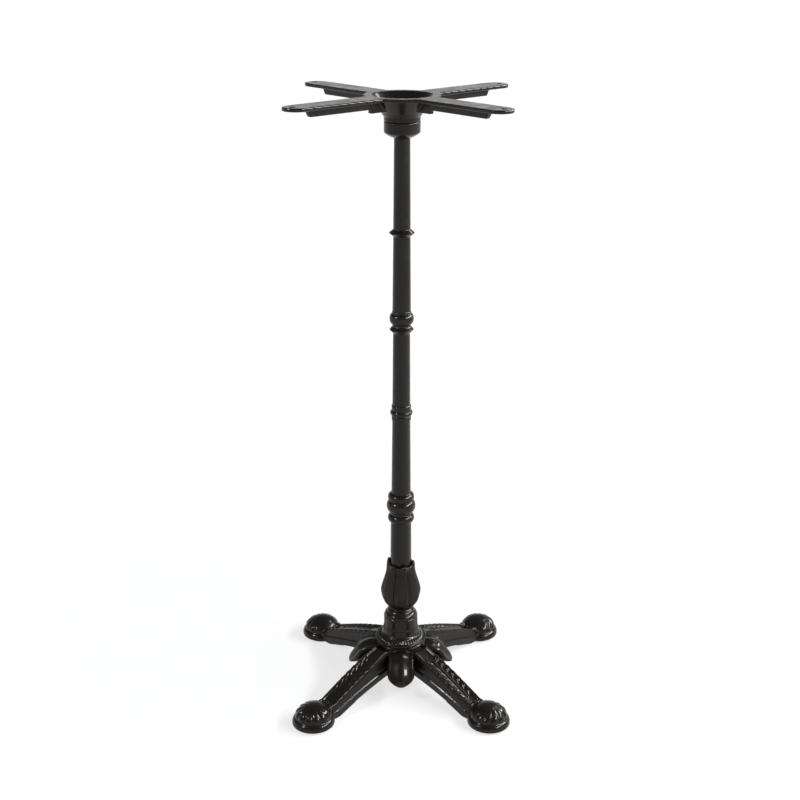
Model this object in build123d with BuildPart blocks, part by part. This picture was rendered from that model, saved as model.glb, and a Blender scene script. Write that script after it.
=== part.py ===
from build123d import *
import os
from math import cos, radians, sin

# Bar-height pedestal table base: a stack of iron castings clamped by one tie rod.
# Millimetres, +Z up. The origin is on the floor, on the column's axis.

# ---- driving dimensions -------------------------------------------------------------------
overall_height = 1080
wall = 5

# legs, paws, hub and the knee lobes between the legs
leg_angles = {"rear_right": 45, "rear_left": 135, "front_left": 225, "front_right": 315}
foot_reach = 220
foot_radius = 38
foot_top = 40
foot_skirt_top = 12
rim_height = 4
leg_width = 44
leg_waist = 40
leg_band = 14
shoulder_reach = 52
ankle_reach = 180
ankle_height = 30
heel_reach = 200
pocket_end = 205
arch_start = (50, 36)
arch_middle = (115, 22)
arch_end = (172, rim_height)
sole_end = (190, rim_height)
hub_radius = 44
hub_top = 80
hub_deck = 12
lobe_reach = 100
lobe_width = 48
lobe_bottom = 33
lobe_crown = (79, 66)
lobe_nose_height = 40

# flange collar
flange_step_radius = 45.3
flange_radius = 46.7
flange_low = 85.5
flange_high = 91
flange_round = 1.5
slope_foot = (36, 97)
barrel_foot = (33, 99)
barrel_low_radius = 32.2
barrel_radius = 31
barrel_step = 112.8
barrel_step_half = 1.2
barrel_top = 134.5
dome_foot_radius = 30
dome_radius = 14
neck_radius = 20.6
collar_top = 150
collar_hollow_radius = 22
collar_hollow_top = 134

# leaf vase
belly_middle = (31, 163)
belly = (36, 184)
cheek_middle = (32.4, 199)
cheek_end = (27.5, 215)
throat_middle = (25.2, 229)
tip_flare = (25.5, 237)
tip_radius = 20.9
vase_top = 250
vase_well = 236
vase_well_radius = 19.4
vase_hollow_foot = 166
vase_hollow_radius = 20
tip_count = 8
tip_notch_radius = 4
tip_notch_reach = 26.5
tip_notch_depth = 11

# column: where each casting sits on the one below, and the shafts' radii from bottom to top
lower_joint = 341
upper_joint = 694.5
shaft_top = 1030
foot_shaft = (18.9, 17.9)
joint_collar = (20.2, 19.8)
joint_collar_top = 378
lower_shaft = (17, 15.3)
middle_shaft = (15.4, 14.3)
torus_collar_radius = 16.2
torus_collar_top = 716
upper_shaft = (15.6, 12.5)

# rings on the column: height, outer radius, half height
foot_ring = (333, 23.8, 8)
bulb_ring = (356.2, 26, 12.5)
cap_ring = (373, 23.6, 9)
belt_ring = (534.5, 19.7, 5)
belt_band_radius = 17.2
belt_band_half = 13
saucer_ring = (686.5, 20.6, 7)
torus_ring = (705.5, 21, 9.5)
blade_ring = (854.4, 21.3, 6.8)

# top collar
cup_bottom = 1010
cup_foot_radius = 13.3
cup_shoulder = 1022.5
cup_round = 24
cup_bore_radius = 12.9

# spider: four arms over ribs, a bowl at the hub and a boss under it
spider_bottom = 1038
spider_turn = -3
arm_length = 238
arm_width = 44
plate = 6
hole_circle_radius = 223.5
screw_hole_radius = 4.5
rib_width = 9
rib_depth = 12
rib_reach = 195
rib_slant = 3.5
knee_reach = 69
knee_depth = 18
hub_ring_radius = 63
crotch_radius = 8
bowl_mouth_radius = 50
bowl_floor_radius = 30
bowl_floor = 1057
funnel_top_radius = 55
funnel_bottom = 1050
boss_radius = 30
boss_fillet = 3

# tie rod, nuts and washers
rod_radius = 6
rod_hole_radius = 6.6
rod_overrun = 3.5
rod_chamfer = 1
core_radius = 8.6
end_wall = 12
nut_flats = 18
nut_height = 10
nut_face_radius = 9.2
nut_bevel = 1
thread_clearance = 0.03
washer_radius = 12
washer_hole_radius = 6.4
washer_thickness = 2.5

# spigots that centre each casting on the one below
spigot_radius = 9.5
spigot_height = 4
spigot_root = 1
spigot_clearance = 0.15
socket_relief = 0.5

# levelling glides
pad_radius = 32.5
pad_gap = 0.7
pad_height = 8
pad_round = 2
stud_radius = 4
stud_clearance = 0.05
stud_top = 28
stud_slot_width = 1.2
stud_slot_depth = 1.5
stud_head_radius = 9
stud_head_height = 3
stud_head_bottom = 2.5
head_gap = 0.4
stud_boss_radius = 10
stud_boss_bottom = 14
stud_hole_top = 34

os.makedirs("parts", exist_ok=True)


# ---- outlines -----------------------------------------------------------------------------
def turned(*points):
    """A closed outline in the XZ plane, ready to revolve about Z."""
    with BuildSketch(Plane.XZ) as face:
        with BuildLine():
            Polyline(*points, close=True)
        make_face()
    return face.sketch


def bar(low, high, radius, top_radius=None):
    """Outline of a round bar or hole along the axis, tapered if it has a top radius."""
    return turned((0, low), (radius, low), (top_radius or radius, high), (0, high))


def bead(core, height, reach, half_height):
    """A rounded bead on a shaft, out from the core radius to its reach."""
    with BuildSketch(Plane.XZ) as face:
        with Locations((core, height)):
            Ellipse(reach - core, half_height)
    return face.sketch


def disc(core, height, reach, half_height):
    """A bead that comes to an edge: two flat cones back to back."""
    return turned((core, height - half_height), (reach, height), (core, height + half_height))


def spigot(height):
    """The register on top of a casting."""
    return bar(height - spigot_root, height + spigot_height, spigot_radius)


def socket(height):
    """The recess in the bottom of a casting for the register below it."""
    return bar(height, height + spigot_height + socket_relief, spigot_radius + spigot_clearance)


def core(low, high):
    """The hollow inside a casting, clear of its two end walls."""
    return bar(low + end_wall, high - end_wall, core_radius)


def upright(angle):
    """The vertical plane through the axis at this angle: local X runs outwards, local Y up."""
    out = (cos(radians(angle)), sin(radians(angle)), 0)
    return Plane(origin=(0, 0, 0), x_dir=out, z_dir=(out[1], -out[0], 0))


def foot_plane(angle):
    """The same plane, moved out to the centre of a paw."""
    return upright(angle).shift_origin(foot_centre(angle))


def foot_centre(angle, height=0):
    """A point on the vertical axis of a paw."""
    return (foot_reach * cos(radians(angle)), foot_reach * sin(radians(angle)), height)


def foot_axis(angle):
    return Axis(foot_centre(angle), (0, 0, 1))


def leg_side(angle):
    """Side outline of a leg: a straight back that falls to the paw, over an arched underside."""
    with BuildSketch(upright(angle)) as face:
        with BuildLine():
            under = ThreePointArc(arch_start, arch_middle, arch_end)
            back = Polyline(under @ 1, sole_end, (heel_reach, ankle_height), (ankle_reach, ankle_height),
                            (shoulder_reach, hub_top))
            Polyline(back @ 1, (0, hub_top), (0, arch_start[1]), under @ 0)
        make_face()
    return face.sketch


def leg_foot_band(angle):
    """Side outline of the plinth band that runs along the bottom of a leg."""
    with BuildSketch(upright(angle)) as face:
        with BuildLine():
            under = ThreePointArc(arch_start, arch_middle, arch_end)
            band_top = rim_height + leg_band
            sole = Polyline(under @ 1, sole_end, (sole_end[0], band_top), (arch_end[0], band_top))
            over = ThreePointArc(sole @ 1, (arch_middle[0], arch_middle[1] + leg_band),
                                 (arch_start[0], arch_start[1] + leg_band))
            Line(over @ 1, under @ 0)
        make_face()
    return face.sketch


def leg_pocket(angle):
    """Side outline of the hollow under a leg, open at the bottom."""
    deck = hub_top - hub_deck
    with BuildSketch(upright(angle)) as face:
        with BuildLine():
            Polyline((0, 0), (0, deck), (shoulder_reach + wall, deck), (ankle_reach, ankle_height - wall),
                     (pocket_end, ankle_height - wall), (pocket_end, 0), close=True)
        make_face()
    return face.sketch


def lobe_side(inset):
    """Half section through the four knee lobes: they fall from the hub to a round nose."""
    nose = lobe_reach - inset
    with BuildSketch(Plane.XZ) as face:
        with BuildLine():
            knee = (lobe_crown[0] - inset, lobe_crown[1] - inset)
            crown = ThreePointArc((hub_radius, hub_top - inset), knee, (nose, lobe_nose_height))
            Polyline(crown @ 1, (nose, lobe_bottom), (0, lobe_bottom), (0, hub_top - inset), crown @ 0)
        make_face()
    return face.sketch


def tongue(plane, inset):
    """Outline of a lobe seen from its nose: straight sides over a round lower end."""
    width = lobe_width - 2 * inset
    low = lobe_bottom + inset
    high = hub_top + lobe_width
    with BuildSketch(plane) as face:
        with Locations((0, (low + high) / 2)):
            SlotOverall(high - low, width, rotation=90)
    return face.sketch


def paw_side(angle, inset):
    """Half section of a paw: a skirt under a domed top."""
    radius = foot_radius - inset
    crown = foot_top - foot_skirt_top - inset
    low = rim_height if inset == 0 else 0
    dome_radius = (crown**2 + radius**2) / crown / 2
    with BuildSketch(foot_plane(angle)) as face:
        with BuildLine():
            dome = RadiusArc((0, foot_skirt_top + crown), (radius, foot_skirt_top), dome_radius)
            Polyline(dome @ 1, (radius, low), (0, low), dome @ 0)
        make_face()
    return face.sketch


def rib_side(angle):
    """Side outline of the rib under a spider arm: deep at the hub, with a sloping outer end."""
    top = overall_height - plate
    with BuildSketch(upright(angle)) as face:
        with BuildLine():
            Polyline((boss_radius, top), (rib_reach + rib_slant, top),
                     (rib_reach - rib_slant, top - rib_depth), (knee_reach, top - rib_depth),
                     (knee_reach, top - knee_depth), (boss_radius, top - knee_depth), close=True)
        make_face()
    return face.sketch


# ---- base casting -------------------------------------------------------------------------
with BuildPart() as lobe_hollow:
    extrude(tongue(Plane.XZ, wall), amount=lobe_reach, both=True)
    extrude(tongue(Plane.YZ, wall), amount=lobe_reach, both=True)
    revolve(lobe_side(wall), axis=Axis.Z, mode=Mode.INTERSECT)

paw_wall = foot_radius - pad_radius - pad_gap

with BuildPart() as base_casting:
    extrude(tongue(Plane.XZ, 0), amount=lobe_reach, both=True)
    extrude(tongue(Plane.YZ, 0), amount=lobe_reach, both=True)
    revolve(lobe_side(0), axis=Axis.Z, mode=Mode.INTERSECT)
    revolve(bar(arch_start[1], hub_top, hub_radius), axis=Axis.Z)
    for angle in leg_angles.values():
        extrude(leg_side(angle), amount=leg_waist / 2, both=True)
        extrude(leg_foot_band(angle), amount=leg_width / 2, both=True)
        revolve(paw_side(angle, 0), axis=foot_axis(angle))
    add(lobe_hollow.part, mode=Mode.SUBTRACT)
    revolve(bar(0, hub_top - hub_deck, hub_radius - wall), axis=Axis.Z, mode=Mode.SUBTRACT)
    for angle in leg_angles.values():
        extrude(leg_pocket(angle), amount=leg_waist / 2 - wall, both=True, mode=Mode.SUBTRACT)
        revolve(paw_side(angle, paw_wall), axis=foot_axis(angle), mode=Mode.SUBTRACT)
        with BuildSketch(Plane(foot_centre(angle, stud_boss_bottom))):
            Circle(stud_boss_radius)
        extrude(amount=foot_top - wall / 2 - stud_boss_bottom)
        with BuildSketch(Plane(foot_centre(angle, stud_boss_bottom))):
            Circle(stud_radius + stud_clearance)
        extrude(amount=stud_hole_top - stud_boss_bottom, mode=Mode.SUBTRACT)
    revolve(spigot(hub_top), axis=Axis.Z)
    revolve(bar(0, hub_top + spigot_height, rod_hole_radius), axis=Axis.Z, mode=Mode.SUBTRACT)
base_casting.part.label = "base_casting"
export_step(base_casting.part, "parts/base_casting.step")

# ---- castings of the column, from the hub up ----------------------------------------------
with BuildPart() as flange_collar:
    with BuildSketch(Plane.XZ):
        with BuildLine():
            foot = Polyline((0, hub_top), (flange_step_radius, hub_top), (flange_step_radius, flange_low),
                            (flange_radius, flange_low), (flange_radius, flange_high - flange_round),
                            (flange_radius - flange_round, flange_high), slope_foot, barrel_foot)
            barrel = Polyline(foot @ 1, (barrel_low_radius, barrel_step - barrel_step_half),
                              (barrel_radius, barrel_step + barrel_step_half), (barrel_radius, barrel_top),
                              (dome_foot_radius, barrel_top))
            dome = RadiusArc(barrel @ 1, (neck_radius, collar_top - 1), -dome_radius)
            Polyline(dome @ 1, (neck_radius, collar_top), (0, collar_top), foot @ 0)
        make_face()
    revolve(axis=Axis.Z)
    revolve(bar(hub_top + end_wall, collar_hollow_top, collar_hollow_radius), axis=Axis.Z, mode=Mode.SUBTRACT)
    revolve(spigot(collar_top), axis=Axis.Z)
    revolve(socket(hub_top), axis=Axis.Z, mode=Mode.SUBTRACT)
    revolve(bar(hub_top, collar_top + spigot_height, rod_hole_radius), axis=Axis.Z, mode=Mode.SUBTRACT)
flange_collar.part.label = "flange_collar"
export_step(flange_collar.part, "parts/flange_collar.step")

with BuildPart() as leaf_vase:
    with BuildSketch(Plane.XZ):
        with BuildLine():
            neck = Line((0, collar_top), (neck_radius, collar_top))
            cup = ThreePointArc(neck @ 1, belly_middle, belly)
            cheek = ThreePointArc(cup @ 1, cheek_middle, cheek_end)
            throat = ThreePointArc(cheek @ 1, throat_middle, tip_flare)
            Polyline(throat @ 1, (tip_radius, vase_top), (0, vase_top), neck @ 0)
        make_face()
    revolve(axis=Axis.Z)
    with BuildSketch(Plane.XY.offset(vase_top)):
        with PolarLocations(tip_notch_reach, tip_count, start_angle=180 / tip_count):
            Circle(tip_notch_radius)
    extrude(amount=-tip_notch_depth, mode=Mode.SUBTRACT)
    revolve(bar(vase_well, vase_top, vase_well_radius), axis=Axis.Z, mode=Mode.SUBTRACT)
    revolve(spigot(vase_well), axis=Axis.Z)
    revolve(bar(vase_hollow_foot, vase_well - end_wall, vase_hollow_radius), axis=Axis.Z, mode=Mode.SUBTRACT)
    revolve(socket(collar_top), axis=Axis.Z, mode=Mode.SUBTRACT)
    revolve(bar(collar_top, vase_top, rod_hole_radius), axis=Axis.Z, mode=Mode.SUBTRACT)
leaf_vase.part.label = "leaf_vase"
export_step(leaf_vase.part, "parts/leaf_vase.step")

with BuildPart() as column_foot:
    revolve(bar(vase_well, lower_joint, *foot_shaft), axis=Axis.Z)
    revolve(bead(foot_shaft[1] - 1, *foot_ring), axis=Axis.Z)
    revolve(bar(lower_joint, lower_joint + end_wall, hub_radius), axis=Axis.Z, mode=Mode.SUBTRACT)
    revolve(spigot(lower_joint), axis=Axis.Z)
    revolve(socket(vase_well), axis=Axis.Z, mode=Mode.SUBTRACT)
    revolve(bar(vase_well, lower_joint + spigot_height, rod_hole_radius), axis=Axis.Z, mode=Mode.SUBTRACT)
    revolve(core(vase_well, lower_joint), axis=Axis.Z, mode=Mode.SUBTRACT)
column_foot.part.label = "column_foot"
export_step(column_foot.part, "parts/column_foot.step")

with BuildPart() as column_lower:
    belt_height = belt_ring[0]
    revolve(bar(lower_joint, joint_collar_top, *joint_collar), axis=Axis.Z)
    revolve(bar(joint_collar_top, belt_height, *lower_shaft), axis=Axis.Z)
    revolve(bar(belt_height, upper_joint, *middle_shaft), axis=Axis.Z)
    revolve(bead(lower_shaft[1], *bulb_ring), axis=Axis.Z)
    revolve(bead(lower_shaft[1], *cap_ring), axis=Axis.Z)
    revolve(bar(belt_height - belt_band_half, belt_height + belt_band_half, belt_band_radius), axis=Axis.Z)
    revolve(bead(middle_shaft[1], *belt_ring), axis=Axis.Z)
    revolve(disc(middle_shaft[1] - 1, *saucer_ring), axis=Axis.Z)
    revolve(spigot(upper_joint), axis=Axis.Z)
    revolve(socket(lower_joint), axis=Axis.Z, mode=Mode.SUBTRACT)
    revolve(bar(lower_joint, upper_joint + spigot_height, rod_hole_radius), axis=Axis.Z, mode=Mode.SUBTRACT)
    revolve(core(lower_joint, upper_joint), axis=Axis.Z, mode=Mode.SUBTRACT)
column_lower.part.label = "column_lower"
export_step(column_lower.part, "parts/column_lower.step")

with BuildPart() as column_upper:
    revolve(bar(upper_joint, torus_collar_top, torus_collar_radius), axis=Axis.Z)
    revolve(bar(torus_collar_top, shaft_top, *upper_shaft), axis=Axis.Z)
    revolve(bead(upper_shaft[1], *torus_ring), axis=Axis.Z)
    revolve(disc(upper_shaft[1], *blade_ring), axis=Axis.Z)
    revolve(spigot(shaft_top), axis=Axis.Z)
    revolve(socket(upper_joint), axis=Axis.Z, mode=Mode.SUBTRACT)
    revolve(bar(upper_joint, shaft_top + spigot_height, rod_hole_radius), axis=Axis.Z, mode=Mode.SUBTRACT)
    revolve(core(upper_joint, shaft_top), axis=Axis.Z, mode=Mode.SUBTRACT)
column_upper.part.label = "column_upper"
export_step(column_upper.part, "parts/column_upper.step")

with BuildPart() as top_collar:
    with BuildSketch(Plane.XZ):
        with BuildLine():
            under = Line((0, cup_bottom), (cup_foot_radius, cup_bottom))
            shoulder = RadiusArc(under @ 1, (boss_radius, cup_shoulder), -cup_round)
            Polyline(shoulder @ 1, (boss_radius, spider_bottom), (0, spider_bottom), under @ 0)
        make_face()
    revolve(axis=Axis.Z)
    revolve(spigot(spider_bottom), axis=Axis.Z)
    revolve(bar(cup_bottom, shaft_top, cup_bore_radius), axis=Axis.Z, mode=Mode.SUBTRACT)
    revolve(socket(shaft_top), axis=Axis.Z, mode=Mode.SUBTRACT)
    revolve(bar(cup_bottom, spider_bottom + spigot_height, rod_hole_radius), axis=Axis.Z, mode=Mode.SUBTRACT)
top_collar.part.label = "top_collar"
export_step(top_collar.part, "parts/top_collar.step")

# ---- spider -------------------------------------------------------------------------------
with BuildPart() as spider:
    under_plate = overall_height - plate
    with BuildSketch(Plane.XY.offset(under_plate)) as cross:
        SlotOverall(2 * arm_length, arm_width, rotation=45 + spider_turn)
        SlotOverall(2 * arm_length, arm_width, rotation=135 + spider_turn)
        Circle(hub_ring_radius)
        crotches = cross.vertices().filter_by(lambda v: Vector(v.X, v.Y, 0).length < hub_ring_radius + 1)
        fillet(crotches, radius=crotch_radius)
    extrude(amount=plate)
    for angle in leg_angles.values():
        extrude(rib_side(angle + spider_turn), amount=rib_width / 2, both=True)
    with BuildSketch(Plane.XZ):
        with BuildLine():
            funnel = Polyline((0, under_plate), (funnel_top_radius, under_plate),
                              (boss_radius + boss_fillet, funnel_bottom))
            throat = RadiusArc(funnel @ 1, (boss_radius, funnel_bottom - boss_fillet), boss_fillet)
            Polyline(throat @ 1, (boss_radius, spider_bottom), (0, spider_bottom), funnel @ 0)
        make_face()
    revolve(axis=Axis.Z)
    revolve(turned((0, bowl_floor), (bowl_floor_radius, bowl_floor), (bowl_mouth_radius, overall_height),
                   (0, overall_height)), axis=Axis.Z, mode=Mode.SUBTRACT)
    revolve(socket(spider_bottom), axis=Axis.Z, mode=Mode.SUBTRACT)
    revolve(bar(spider_bottom, bowl_floor, rod_hole_radius), axis=Axis.Z, mode=Mode.SUBTRACT)
    with BuildSketch(Plane.XY.offset(overall_height)):
        with PolarLocations(hole_circle_radius, 4, start_angle=45 + spider_turn):
            Circle(screw_hole_radius)
    extrude(amount=-plate, mode=Mode.SUBTRACT)
spider.part.label = "spider"
export_step(spider.part, "parts/spider.step")

# ---- tie rod, nuts and washers ------------------------------------------------------------
top_seat = bowl_floor
bottom_seat = hub_top - hub_deck
stack_grip = washer_thickness + nut_height
nut_corner = nut_flats / 2 / cos(radians(30)) + thread_clearance

with BuildPart() as tie_rod:
    rod_low = bottom_seat - stack_grip - rod_overrun
    rod_high = top_seat + stack_grip + rod_overrun
    with BuildSketch(Plane.XY.offset(rod_low)):
        Circle(rod_radius)
    extrude(amount=rod_high - rod_low)
    chamfer(tie_rod.edges().filter_by(GeomType.CIRCLE), length=rod_chamfer)
tie_rod.part.label = "tie_rod"
export_step(tie_rod.part, "parts/tie_rod.step")

for name, low in (("top_washer", top_seat), ("bottom_washer", bottom_seat - washer_thickness)):
    with BuildPart() as washer:
        with BuildSketch(Plane.XY.offset(low)):
            Circle(washer_radius)
            Circle(washer_hole_radius, mode=Mode.SUBTRACT)
        extrude(amount=washer_thickness)
    washer.part.label = name
    export_step(washer.part, f"parts/{name}.step")

for name, low in (("top_nut", top_seat + washer_thickness), ("bottom_nut", bottom_seat - stack_grip)):
    with BuildPart() as nut:
        with BuildSketch(Plane.XY.offset(low)):
            RegularPolygon(nut_flats / 2, 6, major_radius=False)
            Circle(rod_radius + thread_clearance, mode=Mode.SUBTRACT)
        extrude(amount=nut_height)
        with BuildSketch(Plane.XZ):
            with BuildLine():
                Polyline((0, low), (nut_face_radius, low), (nut_corner, low + nut_bevel),
                         (nut_corner, low + nut_height - nut_bevel), (nut_face_radius, low + nut_height),
                         (0, low + nut_height), close=True)
            make_face()
        revolve(axis=Axis.Z, mode=Mode.INTERSECT)
    nut.part.label = name
    export_step(nut.part, f"parts/{name}.step")

# ---- levelling glides: a stud that screws into the paw and a pad that swivels on its head --
for corner, angle in leg_angles.items():
    with BuildPart() as pad:
        with BuildSketch(Plane(foot_centre(angle))):
            Circle(pad_radius)
        extrude(amount=pad_height)
        fillet(pad.edges().group_by(Axis.Z)[0], radius=pad_round)
        with BuildSketch(Plane(foot_centre(angle, stud_head_bottom - head_gap))):
            Circle(stud_head_radius + head_gap)
        extrude(amount=stud_head_height + 2 * head_gap, mode=Mode.SUBTRACT)
        with BuildSketch(Plane(foot_centre(angle, stud_head_bottom))):
            Circle(stud_radius + stud_clearance)
        extrude(amount=pad_height, mode=Mode.SUBTRACT)
    pad.part.label = f"glide_pad_{corner}"
    export_step(pad.part, f"parts/glide_pad_{corner}.step")

    with BuildPart() as stud:
        with BuildSketch(Plane(foot_centre(angle, stud_head_bottom))):
            Circle(stud_head_radius)
        extrude(amount=stud_head_height)
        with BuildSketch(Plane(foot_centre(angle, stud_head_bottom))):
            Circle(stud_radius)
        extrude(amount=stud_top - stud_head_bottom)
        with BuildSketch(Plane(foot_centre(angle, stud_top))):
            Rectangle(stud_slot_width, 2 * stud_radius)
        extrude(amount=-stud_slot_depth, mode=Mode.SUBTRACT)
    stud.part.label = f"glide_stud_{corner}"
    export_step(stud.part, f"parts/glide_stud_{corner}.step")
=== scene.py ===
"""A black enamelled cast-iron pedestal table base, with its ornament, on a pale floor."""
import bpy
from math import cos, degrees, exp, hypot, pi, radians, sin, sqrt
from mathutils import Euler, Matrix, Vector


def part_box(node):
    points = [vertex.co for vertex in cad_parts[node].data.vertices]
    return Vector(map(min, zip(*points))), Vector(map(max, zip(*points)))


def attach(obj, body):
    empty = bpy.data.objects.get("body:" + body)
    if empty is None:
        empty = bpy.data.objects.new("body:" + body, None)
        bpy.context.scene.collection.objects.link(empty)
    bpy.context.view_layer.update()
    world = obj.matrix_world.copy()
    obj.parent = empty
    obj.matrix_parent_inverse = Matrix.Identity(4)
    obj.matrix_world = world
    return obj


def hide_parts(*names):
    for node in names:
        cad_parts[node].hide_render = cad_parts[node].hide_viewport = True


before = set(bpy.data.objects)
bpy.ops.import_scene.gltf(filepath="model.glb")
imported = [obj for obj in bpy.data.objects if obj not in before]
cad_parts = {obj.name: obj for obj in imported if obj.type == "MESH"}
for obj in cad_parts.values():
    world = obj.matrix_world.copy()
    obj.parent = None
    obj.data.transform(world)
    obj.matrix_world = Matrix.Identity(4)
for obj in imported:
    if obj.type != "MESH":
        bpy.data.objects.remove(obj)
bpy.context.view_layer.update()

# Everything below is in millimetres in the CAD frame, and becomes metres as each mesh is made.
MM = 0.001


def low(node):
    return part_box(node)[0].z / MM


def high(node):
    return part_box(node)[1].z / MM


# ---- places taken from the frame ----------------------------------------------------------
hub_top = low("flange_collar")
collar_top = low("leaf_vase")
vase_well = low("column_foot")
vase_top = high("leaf_vase")
lower_joint = low("column_lower")
upper_joint = low("column_upper")
cup_bottom = low("top_collar")
spider_bottom = low("spider")
rim_height = low("base_casting")
pad_low, pad_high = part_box("glide_pad_rear_right")
paw_reach = hypot((pad_low.x + pad_high.x) / 2, (pad_low.y + pad_high.y) / 2) / MM
paw_radius = (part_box("base_casting")[1].x / MM) - paw_reach * cos(radians(45))
leg_angles = (45, 135, 225, 315)
lobe_angles = (0, 90, 180, 270)
rod_hole_radius = 6.6


# ---- mesh helpers -------------------------------------------------------------------------
def mesh_object(name, points, faces):
    """A smooth-shaded object from points in millimetres."""
    mesh = bpy.data.meshes.new(name)
    mesh.from_pydata([Vector(p) * MM for p in points], [], faces)
    mesh.validate()
    mesh.shade_smooth()
    piece = bpy.data.objects.new(name, mesh)
    bpy.context.scene.collection.objects.link(piece)
    return piece


def band_faces(rows, width, closed_rows=False, closed_width=True):
    """Quads between rows of points, each row as wide as the last."""
    faces = []
    for i in range(rows if closed_rows else rows - 1):
        for j in range(width if closed_width else width - 1):
            k, n = (j + 1) % width, (i + 1) % rows
            faces.append((i * width + j, i * width + k, n * width + k, n * width + j))
    return faces


def lathe(name, outline, segments=144, carve=None):
    """Turns a closed outline of (radius, height) about Z. carve moves a point by its angle."""
    points = []
    for radius, height in outline:
        for j in range(segments):
            angle = 2 * pi * j / segments
            r, z = carve(angle, radius, height) if carve else (radius, height)
            points.append((r * cos(angle), r * sin(angle), z))
    return mesh_object(name, points, band_faces(len(outline), segments, closed_rows=True))


def sweep(name, stations):
    """Joins rings of points, one per station, and closes both ends."""
    width = len(stations[0])
    points = [p for ring in stations for p in ring]
    faces = band_faces(len(stations), width)
    last = (len(stations) - 1) * width
    faces.append(tuple(reversed(range(width))))
    faces.append(tuple(last + j for j in range(width)))
    return mesh_object(name, points, faces)


def bow(a, b, sag, steps=12):
    """Points from a to b along a shallow curve that stands out to the right by sag."""
    a, b = Vector(a), Vector(b)
    across = Vector((b.y - a.y, a.x - b.x)).normalized()
    made = []
    for k in range(steps + 1):
        t = k / steps
        made.append(tuple(a.lerp(b, t) + across * sag * 4 * t * (1 - t)))
    return made


def smooth_line(points, steps):
    """Catmull-Rom through the points."""
    made = []
    for i in range(len(points) - 1):
        p = [Vector(points[min(max(i + k, 0), len(points) - 1)]) for k in (-1, 0, 1, 2)]
        start, slope = 2 * p[1], p[2] - p[0]
        bend = 2 * p[0] - 5 * p[1] + 4 * p[2] - p[3]
        twist = 3 * p[1] - p[0] - 3 * p[2] + p[3]
        for k in range(steps):
            t = k / steps
            made.append(tuple(0.5 * (start + slope * t + bend * t * t + twist * t**3)))
    made.append(tuple(points[-1]))
    return made


def blob(centre, radii, turn=(0, 0, 0), rings=8, segments=14):
    """An ellipsoid, turned by Euler angles in degrees. Gives points and faces to join into a casting."""
    spin = Euler([radians(t) for t in turn]).to_matrix()
    points = []
    for i in range(rings + 1):
        polar = pi * (0.02 + 0.96 * i / rings)
        for j in range(segments):
            angle = 2 * pi * j / segments
            local = Vector((radii[0] * sin(polar) * cos(angle), radii[1] * sin(polar) * sin(angle),
                            -radii[2] * cos(polar)))
            points.append(tuple(Vector(centre) + spin @ local))
    faces = band_faces(rings + 1, segments)
    faces.append(tuple(reversed(range(segments))))
    faces.append(tuple(rings * segments + j for j in range(segments)))
    return points, faces


def blobs(name, many):
    """One object from many ellipsoids."""
    points, faces = [], []
    for more_points, more_faces in many:
        start = len(points)
        points += more_points
        faces += [tuple(start + i for i in face) for face in more_faces]
    return mesh_object(name, points, faces)


def fused(name, parts, voxel, smoothing=2):
    """Parts cast into one skin: joined, remeshed on a fine grid and smoothed a little."""
    points, faces = [], []
    for part in parts:
        start = len(points)
        points += [part.matrix_world @ v.co for v in part.data.vertices]
        faces += [tuple(start + i for i in polygon.vertices) for polygon in part.data.polygons]
        bpy.data.objects.remove(part)
    rough = bpy.data.meshes.new(name + "_rough")
    rough.from_pydata(points, [], faces)
    piece = bpy.data.objects.new(name, rough)
    bpy.context.scene.collection.objects.link(piece)
    remesh = piece.modifiers.new("grid", "REMESH")
    remesh.mode = "VOXEL"
    remesh.voxel_size = voxel * MM
    smooth = piece.modifiers.new("smooth", "SMOOTH")
    smooth.factor = 0.5
    smooth.iterations = smoothing
    bpy.context.view_layer.update()
    piece.data = bpy.data.meshes.new_from_object(piece.evaluated_get(bpy.context.evaluated_depsgraph_get()))
    piece.modifiers.clear()
    piece.data.shade_smooth()
    return piece


def finish_piece(piece, material, body="stand", replaces=()):
    piece.data.materials.clear()
    piece.data.materials.append(material)
    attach(piece, body)
    if replaces:
        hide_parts(*replaces)
    return piece


# ---- materials ----------------------------------------------------------------------------
def material(name, colour, roughness, metallic=0.0, coat=0.0):
    """A principled material. Gives the material, its nodes, its links and its shader."""
    made = bpy.data.materials.new(name)
    made.use_nodes = True
    nodes, links = made.node_tree.nodes, made.node_tree.links
    shader = nodes["Principled BSDF"]
    shader.inputs["Base Color"].default_value = (*colour, 1)
    shader.inputs["Roughness"].default_value = roughness
    shader.inputs["Metallic"].default_value = metallic
    shader.inputs["Coat Weight"].default_value = coat
    return made, nodes, links, shader


def noise(nodes, links, scale, detail=3.0, stretch=(1, 1, 1)):
    """A noise texture in object space, with the scale in lumps per metre."""
    where = nodes.new("ShaderNodeTexCoord")
    mapping = nodes.new("ShaderNodeMapping")
    mapping.inputs["Scale"].default_value = stretch
    texture = nodes.new("ShaderNodeTexNoise")
    texture.inputs["Scale"].default_value = scale
    texture.inputs["Detail"].default_value = detail
    links.new(where.outputs["Object"], mapping.inputs["Vector"])
    links.new(mapping.outputs["Vector"], texture.inputs["Vector"])
    return texture


def ranged(nodes, links, source, low_value, high_value, from_low=0.3, from_high=0.7):
    """Maps a texture onto a range of values."""
    ramp = nodes.new("ShaderNodeMapRange")
    ramp.inputs["From Min"].default_value = from_low
    ramp.inputs["From Max"].default_value = from_high
    ramp.inputs["To Min"].default_value = low_value
    ramp.inputs["To Max"].default_value = high_value
    links.new(source, ramp.inputs["Value"])
    return ramp.outputs["Result"]


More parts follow.
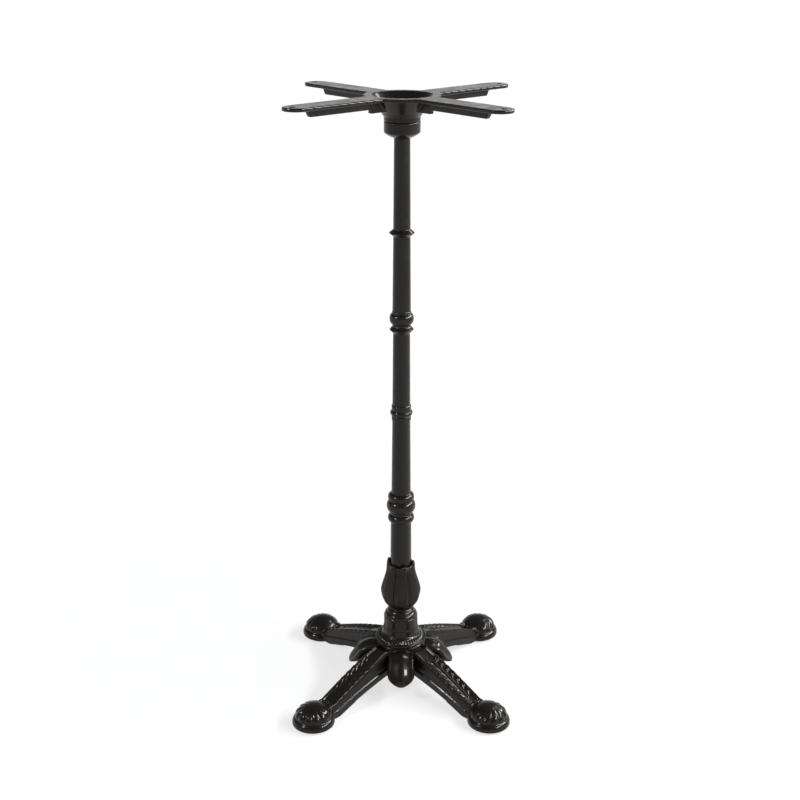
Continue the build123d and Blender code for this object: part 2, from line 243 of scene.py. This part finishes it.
def bump(nodes, links, source, distance, below=None):
    """A bump of this many metres, on top of another bump's normal."""
    made = nodes.new("ShaderNodeBump")
    made.inputs["Distance"].default_value = distance
    made.inputs["Strength"].default_value = 1.0
    links.new(source, made.inputs["Height"])
    if below:
        links.new(below, made.inputs["Normal"])
    return made.outputs["Normal"]


def mixed_colour(nodes, links, factor, first, second):
    mix = nodes.new("ShaderNodeMix")
    mix.data_type = "RGBA"
    mix.inputs["A"].default_value = (*first, 1)
    mix.inputs["B"].default_value = (*second, 1)
    links.new(factor, mix.inputs["Factor"])
    return mix.outputs["Result"]


def black_enamel():
    """Stoved gloss enamel over a sand casting: orange peel, faint lumps, thin dusty wear on the edges."""
    made, nodes, links, shader = material("black_enamel", (0.005, 0.0042, 0.004), 0.3, coat=0.35)
    shader.inputs["Coat Roughness"].default_value = 0.05
    shader.inputs["Coat IOR"].default_value = 1.42
    shader.inputs["IOR"].default_value = 1.45
    shader.inputs["Specular IOR Level"].default_value = 0.12
    shader.inputs["Specular Tint"].default_value = (1, 0.86, 0.8, 1)
    lumps = noise(nodes, links, 55, 4).outputs["Fac"]
    peel = noise(nodes, links, 650, 2).outputs["Fac"]
    edges = nodes.new("ShaderNodeNewGeometry").outputs["Pointiness"]
    worn = ranged(nodes, links, edges, 0, 1, 0.54, 0.62)
    links.new(mixed_colour(nodes, links, worn, (0.005, 0.0042, 0.0039), (0.018, 0.015, 0.013)),
              shader.inputs["Base Color"])
    links.new(ranged(nodes, links, lumps, 0.22, 0.42), shader.inputs["Roughness"])
    grain = bump(nodes, links, lumps, 0.0004)
    skin = bump(nodes, links, peel, 0.00003, grain)
    links.new(skin, shader.inputs["Normal"])
    links.new(grain, shader.inputs["Coat Normal"])
    return made


def zinc_steel():
    """Bright zinc plate with a brushed, slightly clouded face."""
    made, nodes, links, shader = material("zinc_steel", (0.62, 0.62, 0.6), 0.32, metallic=1.0)
    cloud = noise(nodes, links, 180, 3).outputs["Fac"]
    brush = noise(nodes, links, 900, 2, stretch=(1, 1, 0.05)).outputs["Fac"]
    clouded = mixed_colour(nodes, links, cloud, (0.66, 0.66, 0.63), (0.5, 0.51, 0.5))
    links.new(clouded, shader.inputs["Base Color"])
    links.new(ranged(nodes, links, cloud, 0.25, 0.45), shader.inputs["Roughness"])
    links.new(bump(nodes, links, brush, 0.00002), shader.inputs["Normal"])
    return made


def black_plastic():
    """Moulded black plastic with a fine spark-eroded texture and scuffs."""
    made, nodes, links, shader = material("black_plastic", (0.03, 0.03, 0.03), 0.55)
    grain = noise(nodes, links, 1400, 2).outputs["Fac"]
    scuff = noise(nodes, links, 90, 4, stretch=(1, 4, 1)).outputs["Fac"]
    worn = ranged(nodes, links, scuff, 0, 1, 0.5, 0.75)
    scuffed = mixed_colour(nodes, links, worn, (0.024, 0.024, 0.024), (0.06, 0.058, 0.056))
    links.new(scuffed, shader.inputs["Base Color"])
    links.new(ranged(nodes, links, scuff, 0.45, 0.7), shader.inputs["Roughness"])
    links.new(bump(nodes, links, grain, 0.00004), shader.inputs["Normal"])
    return made


def floor_paint():
    """The pale seamless floor: it glows a little less round the object, where the lamps light it."""
    made, nodes, links, shader = material("floor_paint", (0.2, 0.2, 0.2), 0.9)
    shader.inputs["Specular IOR Level"].default_value = 0.1
    shader.inputs["Emission Color"].default_value = (1, 1, 1, 1)
    where = nodes.new("ShaderNodeTexCoord")
    reach = nodes.new("ShaderNodeVectorMath")
    reach.operation = "LENGTH"
    links.new(where.outputs["Object"], reach.inputs[0])
    glow = ranged(nodes, links, reach.outputs["Value"], 0.7, 0.96, 0.5, 2.5)
    links.new(glow, shader.inputs["Emission Strength"])
    return made


enamel = black_enamel()
zinc = zinc_steel()
plastic = black_plastic()

# ---- legs ---------------------------------------------------------------------------------
corners = ("rear_right", "rear_left", "front_left", "front_right")
ankle_height = 30
ankle_reach = 180
shoulder_reach = 52
back_crown = 3.0
border_rise = 0.6
plinth_half = 22
plinth_height = 14
flank_half = 20
core_half = 15
roof_depth = 8
leg_root = 30
leg_bite = 4
leg_stations = 70
arch = ((50, 36), (115, 22), (172, rim_height))
arch_ceiling = 37
skirt_wall = paw_radius - 2.4
ball_wall = paw_radius - 8
ball_foot = 17

# ornament along a leg: where each row starts, its pitch and its number of beads
border_row = (54, 3.2, 10)
leaf_row = (84, 13.4, 7)
hatch_row = (80, 4.4, 14)
midrib_row = (82, 3.0, 30)
border_across = 13.6
vein_across = 8.4
vein_back = 3
hatch_across = 17.9
cuff_beads = 7
cuff_step = 13
cuff_height = 28
cuff_drop = 1.7
cuff_reach = paw_radius - 4.2


def leg_back(s):
    """Height of a leg's back, a distance s out from the axis."""
    t = min(max((s - shoulder_reach) / (ankle_reach - shoulder_reach), 0), 1)
    return hub_top + (ankle_height - hub_top) * t + back_crown * sin(pi * t)


def leg_under(s):
    """Height of the arched underside, a curve through three points."""
    if s > arch[2][0]:
        return arch[2][1]
    total = 0
    for i, (x, z) in enumerate(arch):
        weight = 1
        for k, (other, _) in enumerate(arch):
            if k != i:
                weight *= (s - other) / (x - other)
        total += z * weight
    return min(total, arch_ceiling)


def leg_section(s):
    """Right half of a leg's outer skin at s, from the inner bottom edge to the middle of the back."""
    under, back = leg_under(s), leg_back(s)
    ledge = under + plinth_height
    plinth = [(core_half, under), (plinth_half - 0.8, under), (plinth_half, under + 0.8),
              (plinth_half, ledge - 2), (plinth_half - 0.5, ledge - 0.6), (flank_half, ledge + 0.2),
              (flank_half - 0.3, ledge + 1.2)]
    border = [(18.4, max(back - 6, ledge + 2)), (17.0, back - 2.4), (15.6, back - 0.3),
              (13.6, back + border_rise), (11.6, back - 0.2), (10.4, back - 2.2)]
    channel = [(7, back - 3.0), (0, back - 3.2)]
    return plinth + border + channel


def leg_body():
    """The leg's skin, hollow below, ending in the paw's skirt and higher up in its ball."""
    stations = []
    for i in range(leg_stations + 1):
        t = i / leg_stations
        nominal = leg_root + t * (paw_reach - skirt_wall + leg_bite - leg_root)
        half = leg_section(nominal)
        ceiling = leg_back(nominal) - roof_depth
        ring = half + [(-w, z) for w, z in reversed(half[:-1])]
        ring += [(-core_half, ceiling), (core_half, ceiling)]
        station = []
        for w, z in ring:
            wall = skirt_wall if z < ball_foot else ball_wall
            end = paw_reach - sqrt(wall**2 - w**2)
            station.append((leg_root + t * (end - leg_root), w, z))
        stations.append(station)
    return sweep("leg_body", [list(reversed(s)) for s in stations])


def leg_slope(s):
    """The tilt of a leg's back, in degrees."""
    return degrees((leg_back(s + 5) - leg_back(s - 5)) / 10)


def on_back(s, across, sink, radii, tilt, roll=0, yaw=0, **grid):
    """A bead on a leg's back, sunk into it."""
    return blob((s, across, leg_back(s) - sink), radii, (roll, tilt, yaw), **grid)


def row(start, pitch, count):
    """The places along a leg of a row of beads, each with the tilt of the back there."""
    for k in range(count):
        s = start + k * pitch
        yield s, -leg_slope(s)


def leg_ornament():
    """Plain borders near the hub, leaf lobes and a hatched edge along the rest, a midrib and a cuff."""
    many = []
    for side in (-1, 1):
        for s, tilt in row(*border_row):
            many.append(on_back(s, side * border_across, 0.4, (4.6, 2.2, 2.4), tilt))
        for s, tilt in row(*leaf_row):
            many.append(on_back(s, side * border_across, 0.6, (8.4, 3.2, 2.3), tilt, yaw=side * -15))
            vein = s - vein_back
            many.append(on_back(vein, side * vein_across, 1.8, (7.6, 1.6, 1.6), tilt, yaw=side * -32))
        for s, tilt in row(*hatch_row):
            many.append(on_back(s, side * hatch_across, 5.4, (0.9, 1.3, 3.4), tilt + 28, roll=side * 20))
    for s, tilt in row(*midrib_row):
        many.append(on_back(s, 0, 3.0, (3.4, 1.5, 1.7), tilt, rings=6, segments=10))
    middle = cuff_beads // 2
    for k in range(cuff_beads):
        spread = radians(cuff_step * (k - middle))
        height = cuff_height - abs(k - middle) * cuff_drop
        place = (paw_reach - cuff_reach * cos(spread), cuff_reach * sin(spread), height)
        many.append(blob(place, (2.6, 3.6, 4.2)))
    return blobs("leg_ornament", many)


paw_top = 40
toe_foot = 17.5
ball_inset = 6.0
ball_steps = 24
groove_depth = 2.2
groove_width = 5.5
groove_angles = (-112, -80, -48, -16, 16, 48, 80, 112)
toe_swell = 1.4
hollow_radius = 26.5
hollow_foot = 14
hollow_rise = 21.0
hollow_steps = 12
pad_clearance = 0.7
inner_radius = (pad_high.x - pad_low.x) / 2 / MM + pad_clearance
inner_top = 13.2
nearly_axis = 0.05
stud_bore = 4.3
boss_radius = 10
boss_bottom = 14
boss_top = 36


def paw_outline():
    """Half section of a paw: rim, sloping skirt, a small ledge and the ball, then the hollow inside."""
    r = paw_radius
    skirt = [(r - 0.8, rim_height), (r, rim_height + 0.8), (r, 8.6), (r - 0.5, 11.0), (r - 1.6, 13.4),
             (r - 3.2, 15.4), (r - 5.2, 16.6), (r - ball_inset - 0.6, 17.0)]
    ball = []
    for k in range(ball_steps + 1):
        a = pi / 2 * k / ball_steps
        ball.append((max((r - ball_inset) * cos(a), nearly_axis), toe_foot + (paw_top - toe_foot) * sin(a)))
    hollow = []
    for k in range(hollow_steps + 1):
        a = pi / 2 * (1 - k / hollow_steps)
        hollow.append((max(hollow_radius * cos(a), nearly_axis), hollow_foot + hollow_rise * sin(a)))
    return skirt + ball + hollow + [(inner_radius, inner_top), (inner_radius, rim_height)]


def toes(angle, radius, height):
    """Shallow curved grooves between the toes, round the outside of a paw's ball."""
    if radius < 2 or radius > paw_radius - ball_inset + 0.1 or height < toe_foot:
        return radius, height
    if hypot(radius, (height - toe_foot) * 1.4) < hollow_radius * 1.05:
        return radius, height
    depth = 0
    rise = (height - toe_foot) / (paw_top - toe_foot)
    turn = (degrees(angle) + 180) % 360 - 180
    for groove in groove_angles:
        lean = groove * (1 - 0.25 * rise) + 8 * rise
        depth = max(depth, groove_depth * exp(-((turn - lean) / groove_width) ** 2))
    fade = min(1, rise * 5) * max(0, 1 - rise**3)
    swell = toe_swell * min(1, rise * 4) * (1 - rise**2)
    return radius + swell - depth * fade, height - depth * fade * 0.35


def paw():
    """A paw's skin and the boss inside it that the glide's stud screws into."""
    boss_outline = [(stud_bore, boss_bottom), (boss_radius, boss_bottom), (boss_radius, boss_top),
                    (stud_bore, boss_top)]
    skin = lathe("paw_skin", paw_outline(), segments=180, carve=toes)
    boss = lathe("paw_boss", boss_outline, segments=40)
    for part in (skin, boss):
        for vertex in part.data.vertices:
            vertex.co.x += paw_reach * MM
    return [skin, boss]


def legs():
    """One leg is cast and then copied to the other three corners."""
    first = fused("leg", [leg_body(), leg_ornament(), *paw()], voxel=0.95, smoothing=2)
    for corner, angle in zip(corners, leg_angles):
        leg = first.copy()
        leg.data = first.data.copy()
        leg.name = "leg_" + corner
        leg.data.transform(Matrix.Rotation(radians(angle), 4, "Z"))
        bpy.context.scene.collection.objects.link(leg)
        finish_piece(leg, enamel, replaces=("base_casting",))
    bpy.data.objects.remove(first)


# ---- hub and lobes ------------------------------------------------------------------------
# half width of a lobe at a height, and its profile as (distance from the axis, height)
lobe_widths = ((33, 2), (34.2, 3.2), (36, 5.4), (38, 9.4), (40, 12.8), (43.5, 17.2), (47, 21), (52, 24),
               (57, 25), (63, 25.2), (70, 24.8), (80, 24.2))
lobe_profile = ((43, 78.5), (52, 78.6), (60, 77.2), (67, 74.6), (73, 71), (78.5, 66), (83, 60.5),
                (87, 55.5), (91, 50), (94.3, 45), (96.3, 41), (97, 38), (96.2, 35.6), (93.5, 34),
                (89, 33.4), (80, 33.6))
lobe_spread = 44
lobe_root = 41
lobe_root_top = 76
bulge_foot = 35
rim_foot = 52
lobe_fade = 14
wall_inside = 39
wall_outside = 44
wall_foot = 36
deck_thickness = 12


def between(table, x):
    """Straight-line reading of a table of pairs."""
    for (x0, y0), (x1, y1) in zip(table, table[1:]):
        if x <= x1:
            return y0 + (y1 - y0) * (max(x, x0) - x0) / (x1 - x0)
    return table[-1][1]


def lobe_bulge(u, rim):
    """How far a lobe's skin stands out across its width: a middle bulge, two hollows and raised rims."""
    middle = 4.8 * exp(-((u / 0.46) ** 2))
    rims = 2.2 * rim * exp(-(((abs(u) - 0.84) / 0.09) ** 2))
    return middle + rims - 2.6 - 3.5 * abs(u) ** 9


def lobe(angle):
    """One knee lobe as a closed skin, from its profile and its bulge."""
    profile = smooth_line(lobe_profile, 3)
    stations = []
    for i, (n, z) in enumerate(profile):
        along = Vector(profile[min(i + 1, len(profile) - 1)]) - Vector(profile[max(i - 1, 0)])
        out = Vector((-along.y, along.x)).normalized()
        half = between(lobe_widths, z)
        fade = min(1, max(z - bulge_foot, 0) / lobe_fade)
        rim = min(1, max(z - rim_foot, 0) / lobe_fade)
        ring = []
        for j in range(lobe_spread + 1):
            u = -1 + 2 * j / lobe_spread
            push = lobe_bulge(u, rim) * fade
            ring.append((n + out.x * push, u * half, z + out.y * push))
        base = min(z, lobe_root_top)
        ring += [(lobe_root, half * 0.9, base), (lobe_root, -half * 0.9, base)]
        stations.append(ring)
    made = sweep("lobe", stations)
    made.data.transform(Matrix.Rotation(radians(angle), 4, "Z"))
    return made


def hub():
    """The hub's deck and wall, and the four lobes that hang on it."""
    deck = hub_top - deck_thickness
    outline = [(wall_inside, wall_foot), (wall_outside, wall_foot), (wall_outside, hub_top),
               (rod_hole_radius, hub_top), (rod_hole_radius, deck), (wall_inside, deck)]
    wall = lathe("hub_wall", outline, segments=96)
    piece = fused("hub", [wall] + [lobe(angle) for angle in lobe_angles], voxel=1.0, smoothing=3)
    finish_piece(piece, enamel, replaces=("base_casting",))


# ---- turned castings of the column --------------------------------------------------------
# the collar's outline in three runs, as (radius, height above the hub)
flange_outline = ((rod_hole_radius, 0), (44.4, 0), (45.2, 0.8), (45.3, 2.8), (44.7, 3.8), (43.2, 4.4),
                  (43.0, 5.4), (44.4, 6.0), (46.0, 6.4), (46.7, 7.4), (46.7, 9.4), (46.0, 10.8),
                  (44.9, 11.2), (44.0, 10.8), (43.2, 11.0))
barrel_outline = ((34.6, 18.6), (33.4, 19.4), (32.4, 21.5), (32.2, 23.0), (32.2, 29.8), (32.2, 31.2),
                  (31.9, 32.0), (31.2, 32.6), (31.6, 33.4), (31.1, 34.4), (31.0, 36.0), (31.0, 51.2),
                  (31.0, 52.6), (31.3, 53.4), (30.9, 54.2), (30.1, 54.6), (30.2, 55.4))
dome_groove = ((25.4, 63.0), (25.5, 63.8))
gadroon_inside = 35.3
gadroon_outside = 43.2
gadroon_low = 11
gadroon_high = 18
gadroons_round = 24
gadroon_depth = 1.5
gadroon_edge = 1.5


def raised(outline, base):
    """An outline of (radius, height) pairs, lifted by base."""
    return [(r, base + z) for r, z in outline]


def gadroons(angle, radius, height):
    """Radial grooves in the flange's slope."""
    on_slope = hub_top + gadroon_low < height < hub_top + gadroon_high
    if not (on_slope and gadroon_inside < radius < gadroon_outside):
        return radius, height
    ridge = sin(gadroons_round * angle) ** 2
    edge = min(1, (gadroon_outside - radius) / gadroon_edge, (radius - gadroon_inside) / gadroon_edge)
    return radius, height - gadroon_depth * (1 - ridge) * max(edge, 0)


def flange_collar():
    """A stepped flange with gadroons on its slope, a barrel and a domed shoulder."""
    base, top = hub_top, collar_top
    outline = raised(flange_outline, base)
    outline += bow((43.0, base + 11.6), (35.5, base + 17.2), 1.2, 10)
    outline += raised(barrel_outline, base)
    outline += bow((30.2, base + 55.6), (26.0, base + 62.6), 0.9, 8)
    outline += raised(dome_groove, base)
    outline += bow((25.3, base + 64.2), (20.8, top - 1.2), 0.7, 6)
    outline += [(20.6, top), (rod_hole_radius, top)]
    finish_piece(lathe("flange_collar_cast", outline, 288, gadroons), enamel, replaces=("flange_collar",))


# the vase's outline as (radius, height above the collar)
vase_outline = ((20.6, 0.0), (20.7, 1.5), (21.4, 3.2), (23.4, 5.4), (27.2, 9.2), (30.6, 13.0),
                (33.6, 19.6), (35.4, 27.0), (36.6, 34.0), (36.0, 40.5), (33.8, 49.0), (30.8, 59.0),
                (28.0, 69.0), (26.6, 76.0), (26.1, 82.0), (25.6, 87.0), (25.2, 91.0), (24.2, 95.0),
                (22.8, 98.6), (21.6, 100.0))
# leaf tips: angle, how far the tip rises over the lip, and how far it curls out
leaf_tips = ((176, 12, 1.2), (-10, 8.5, 2.8), (-74, 4.5, 7.0), (92, 10, 1.5), (-130, 3, 2.2),
             (40, 6, 1.5), (134, 6, 1.5))
tip_spread = 19
flutes = 48
leaves = 7
flute_depth = 1.3
seam_depth = 1.8
seam_turn = 0.6
lip_drop = 12
lip_start = 0.7
lip_tuck = 1.2
lip_inside = 20.0
well_radius = 19.4


def nearest_tip(turn):
    """How high and how far out the leaf tips stand at an angle."""
    tall, curl = 0, 0
    for tip_angle, tip_rise, tip_curl in leaf_tips:
        away = (turn - tip_angle + 180) % 360 - 180
        near = exp(-((away / tip_spread) ** 2))
        tall, curl = max(tall, tip_rise * near), max(curl, tip_curl * near)
    return tall, curl


def leafy(angle, radius, height):
    """Carves the vase: flutes, seams between the leaves, and the uneven curled lip."""
    rise = (height - collar_top) / (vase_top - collar_top)
    tall, curl = nearest_tip(degrees(angle))
    if radius < lip_inside + 0.1:
        return radius, height - (lip_drop - tall) * (1 if height > vase_well + 1 else 0)
    flute = abs(sin(flutes / 2 * angle))
    seam = 1 - abs(sin(leaves / 2 * angle + seam_turn))
    ends = min(1, rise * 6) * min(1, max(0, (1.0 - rise) * 6))
    radius -= (flute_depth * (1 - flute) + seam_depth * seam**3) * ends
    top = min(max((rise - lip_start) / (1 - lip_start), 0), 1)
    radius += curl * top**2 - lip_tuck * (1 - tall / lip_drop) * top
    return radius, height - (lip_drop - tall) * top


def leaf_vase():
    """A fluted bulb of leaves; some tips stand up round the column's foot, others curl out."""
    skin = raised(smooth_line(vase_outline, 4), collar_top)
    inside = [(lip_inside, vase_top), (well_radius, vase_top - 0.6), (well_radius, vase_well),
              (rod_hole_radius, vase_well), (rod_hole_radius, collar_top)]
    finish_piece(lathe("leaf_vase_cast", skin + inside, 480, leafy), enamel, replaces=("leaf_vase",))


blade_flat = 0.07
band_flat = 0.8
band_drop = 0.5
ring_sink = 0.5
fillet = 0.9
ring_margin = 3
ring_step = 0.55
plain_step = 9

# shafts as (height, radius); rings as (kind, height, outer radius, half height)
upper_end = high("column_upper") - 4
foot_shaft = ((vase_well, 19.3), (lower_joint, 18.4))
foot_rings = (("round", 332.5, 23.8, 7.6), ("band", 338.5, 19.6, 3.5))
lower_shaft = ((lower_joint, 20.2), (345, 19.8), (380, 17.4), (518, 16.0), (552, 15.8), (678, 14.85),
               (691, 15.0), (upper_joint, 16.2))
lower_rings = (("round", 356.2, 26.0, 11.6), ("round", 373, 23.6, 8.2), ("band", 524.8, 17.2, 4.2),
               ("band", 543.6, 17.2, 5.2), ("round", 534.5, 19.7, 5.0), ("blade", 686.5, 20.6, 7.2))
upper_shaft = ((upper_joint, 16.2), (698, 15.8), (718, 15.9), (847, 14.6), (862, 14.6), (upper_end, 13.2))
upper_rings = (("round", 705.8, 21.0, 9.6), ("band", 716.6, 16.5, 2.4), ("blade", 854.4, 21.3, 6.6))


def ring_radius(z, core, ring):
    """Radius of a ring at a height: round, blade or band."""
    kind, height, reach, half = ring
    t = (z - height) / half
    if abs(t) >= 1:
        return 0
    if kind == "round":
        return core + (reach - core) * sqrt(1 - t * t)
    if kind == "blade":
        return core + (reach - core) * (1 - max(abs(t) - blade_flat, 0) / (1 - blade_flat))
    return reach - band_drop * max(abs(t) - band_flat, 0) / (1 - band_flat)


def blended(a, b, softness):
    """The larger of two radii, with a fillet where they meet."""
    near = max(softness - abs(a - b), 0) / softness
    return max(a, b) + near * near * softness / 4


def row_heights(bottom, top, rings):
    """Heights for a column's rows: sparse on the shaft, close together through each ring."""
    heights = {bottom, top}
    z = bottom
    while z < top:
        heights.add(round(z, 2))
        z += plain_step
    for _, height, _, half in rings:
        span = 2 * half + 2 * ring_margin
        steps = int(span / ring_step)
        for k in range(steps + 1):
            heights.add(round(height - half - ring_margin + span * k / steps, 2))
    return sorted(h for h in heights if bottom <= h <= top)


def column(node, bottom, top, shaft, rings):
    """A turned length of column from its shaft's radii and its rings."""
    outline = [(rod_hole_radius, bottom)]
    for z in row_heights(bottom, top, rings):
        core = between(shaft, z)
        radius = core
        for ring in rings:
            reach = ring_radius(z, core - ring_sink, ring)
            if reach:
                radius = blended(radius, reach, fillet)
        outline.append((radius, z))
    outline.append((rod_hole_radius, top))
    finish_piece(lathe(node + "_cast", outline, 112), enamel, replaces=(node,))


def columns():
    """The three lengths of column, from the foot up."""
    column("column_foot", vase_well, lower_joint, foot_shaft, foot_rings)
    column("column_lower", lower_joint, upper_joint, lower_shaft, lower_rings)
    column("column_upper", upper_joint, upper_end, upper_shaft, upper_rings)


cup_radius = 30.0
cup_bore = 12.8
cup_bore_top = 20


def top_collar():
    """The turned cup at the top of the column."""
    base, top = cup_bottom, spider_bottom
    outline = [(cup_bore, base), (13.8, base + 0.9)]
    outline += bow((14.8, base + 1.5), (29.3, base + 9.8), 0.9, 12)
    outline += [(cup_radius, base + 11.2), (cup_radius, base + 12.6), (cup_radius, top - 2.2),
                (cup_radius, top - 0.8), (cup_radius - 0.6, top - 0.1), (rod_hole_radius, top),
                (rod_hole_radius, base + cup_bore_top), (cup_bore, base + cup_bore_top)]
    finish_piece(lathe("top_collar_cast", outline, 144), enamel, replaces=("top_collar",))


def spider():
    """The bracket: the frame's own shape, with the soft edges of a sand casting."""
    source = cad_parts["spider"]
    copy = bpy.data.objects.new("spider_copy", source.data.copy())
    bpy.context.scene.collection.objects.link(copy)
    bpy.context.view_layer.update()
    piece = fused("spider_cast", [copy], voxel=1.25, smoothing=3)
    finish_piece(piece, enamel, replaces=("spider",))


legs()
hub()
flange_collar()
leaf_vase()
columns()
top_collar()
spider()

# ---- CAD nodes that stay ------------------------------------------------------------------
steel_nodes = ("tie_rod", "top_nut", "top_washer", "bottom_nut", "bottom_washer")
for name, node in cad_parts.items():
    if name.startswith("glide_pad"):
        chosen = plastic
    elif name.startswith("glide_stud") or name in steel_nodes:
        chosen = zinc
    else:
        chosen = enamel
    node.data.materials.clear()
    node.data.materials.append(chosen)

# ---- floor, lights and camera -------------------------------------------------------------
floor_half = 40000
floor_corners = [(-floor_half, -floor_half, 0), (floor_half, -floor_half, 0), (floor_half, floor_half, 0),
                 (-floor_half, floor_half, 0)]
floor = mesh_object("floor", floor_corners, [(0, 1, 2, 3)])
floor.data.materials.append(floor_paint())

# a white sky, bright at the horizon and dim overhead
horizon_strength = 1.0
zenith_strength = 0.22
world = bpy.data.worlds.new("studio")
world.use_nodes = True
sky_nodes, sky_links = world.node_tree.nodes, world.node_tree.links
direction = sky_nodes.new("ShaderNodeTexCoord")
height_of = sky_nodes.new("ShaderNodeSeparateXYZ")
sky_links.new(direction.outputs["Generated"], height_of.inputs["Vector"])
sky_nodes["Background"].inputs["Color"].default_value = (1, 1, 1, 1)
sky = ranged(sky_nodes, sky_links, height_of.outputs["Z"], horizon_strength, zenith_strength, 0.1, 0.3)
sky_links.new(sky, sky_nodes["Background"].inputs["Strength"])
bpy.context.scene.world = world

lamp_colour = (0.965, 1.0, 0.985)
column_middle = (0, 0, 0.5)
bowl_middle = (0, 0, 1.07)


def softbox(name, azimuth, elevation, distance, width, height, power, target=column_middle):
    """A rectangular light that faces the object. Azimuth 0 is the camera's side, positive to its right."""
    a, e = radians(azimuth), radians(elevation)
    data = bpy.data.lights.new(name, "AREA")
    data.shape = "RECTANGLE"
    data.size, data.size_y = width, height
    data.energy = power
    data.color = lamp_colour
    lamp = bpy.data.objects.new(name, data)
    away = Vector((sin(a) * cos(e), -cos(a) * cos(e), sin(e)))
    lamp.location = Vector(target) + away * distance
    lamp.rotation_euler = away.to_track_quat("Z", "Y").to_euler()
    bpy.context.scene.collection.objects.link(lamp)


softbox("left_box", azimuth=-60, elevation=30, distance=2.4, width=0.34, height=0.34, power=34)
softbox("right_box", azimuth=84, elevation=30, distance=2.2, width=3.0, height=0.26, power=140)
softbox("back_box", azimuth=137, elevation=29, distance=2.4, width=0.5, height=0.5, power=9,
        target=bowl_middle)

camera_turn = Matrix.Rotation(radians(-0.38), 4, "Z")
camera_tilt = Matrix.Rotation(radians(69.6226), 4, "X")
camera_roll = Matrix.Rotation(radians(0.1484), 4, "Z")
camera_place = Matrix.Translation(camera_turn @ Vector((-0.0024, -2.1368, 1.3506)))
camera_data = bpy.data.cameras.new("camera")
camera_data.lens = 58.81
camera_data.sensor_width = 36
camera = bpy.data.objects.new("camera", camera_data)
camera.matrix_world = camera_place @ camera_turn @ camera_tilt @ camera_roll
bpy.context.scene.collection.objects.link(camera)
bpy.context.scene.camera = camera
bpy.context.scene.view_settings.view_transform = "Standard"
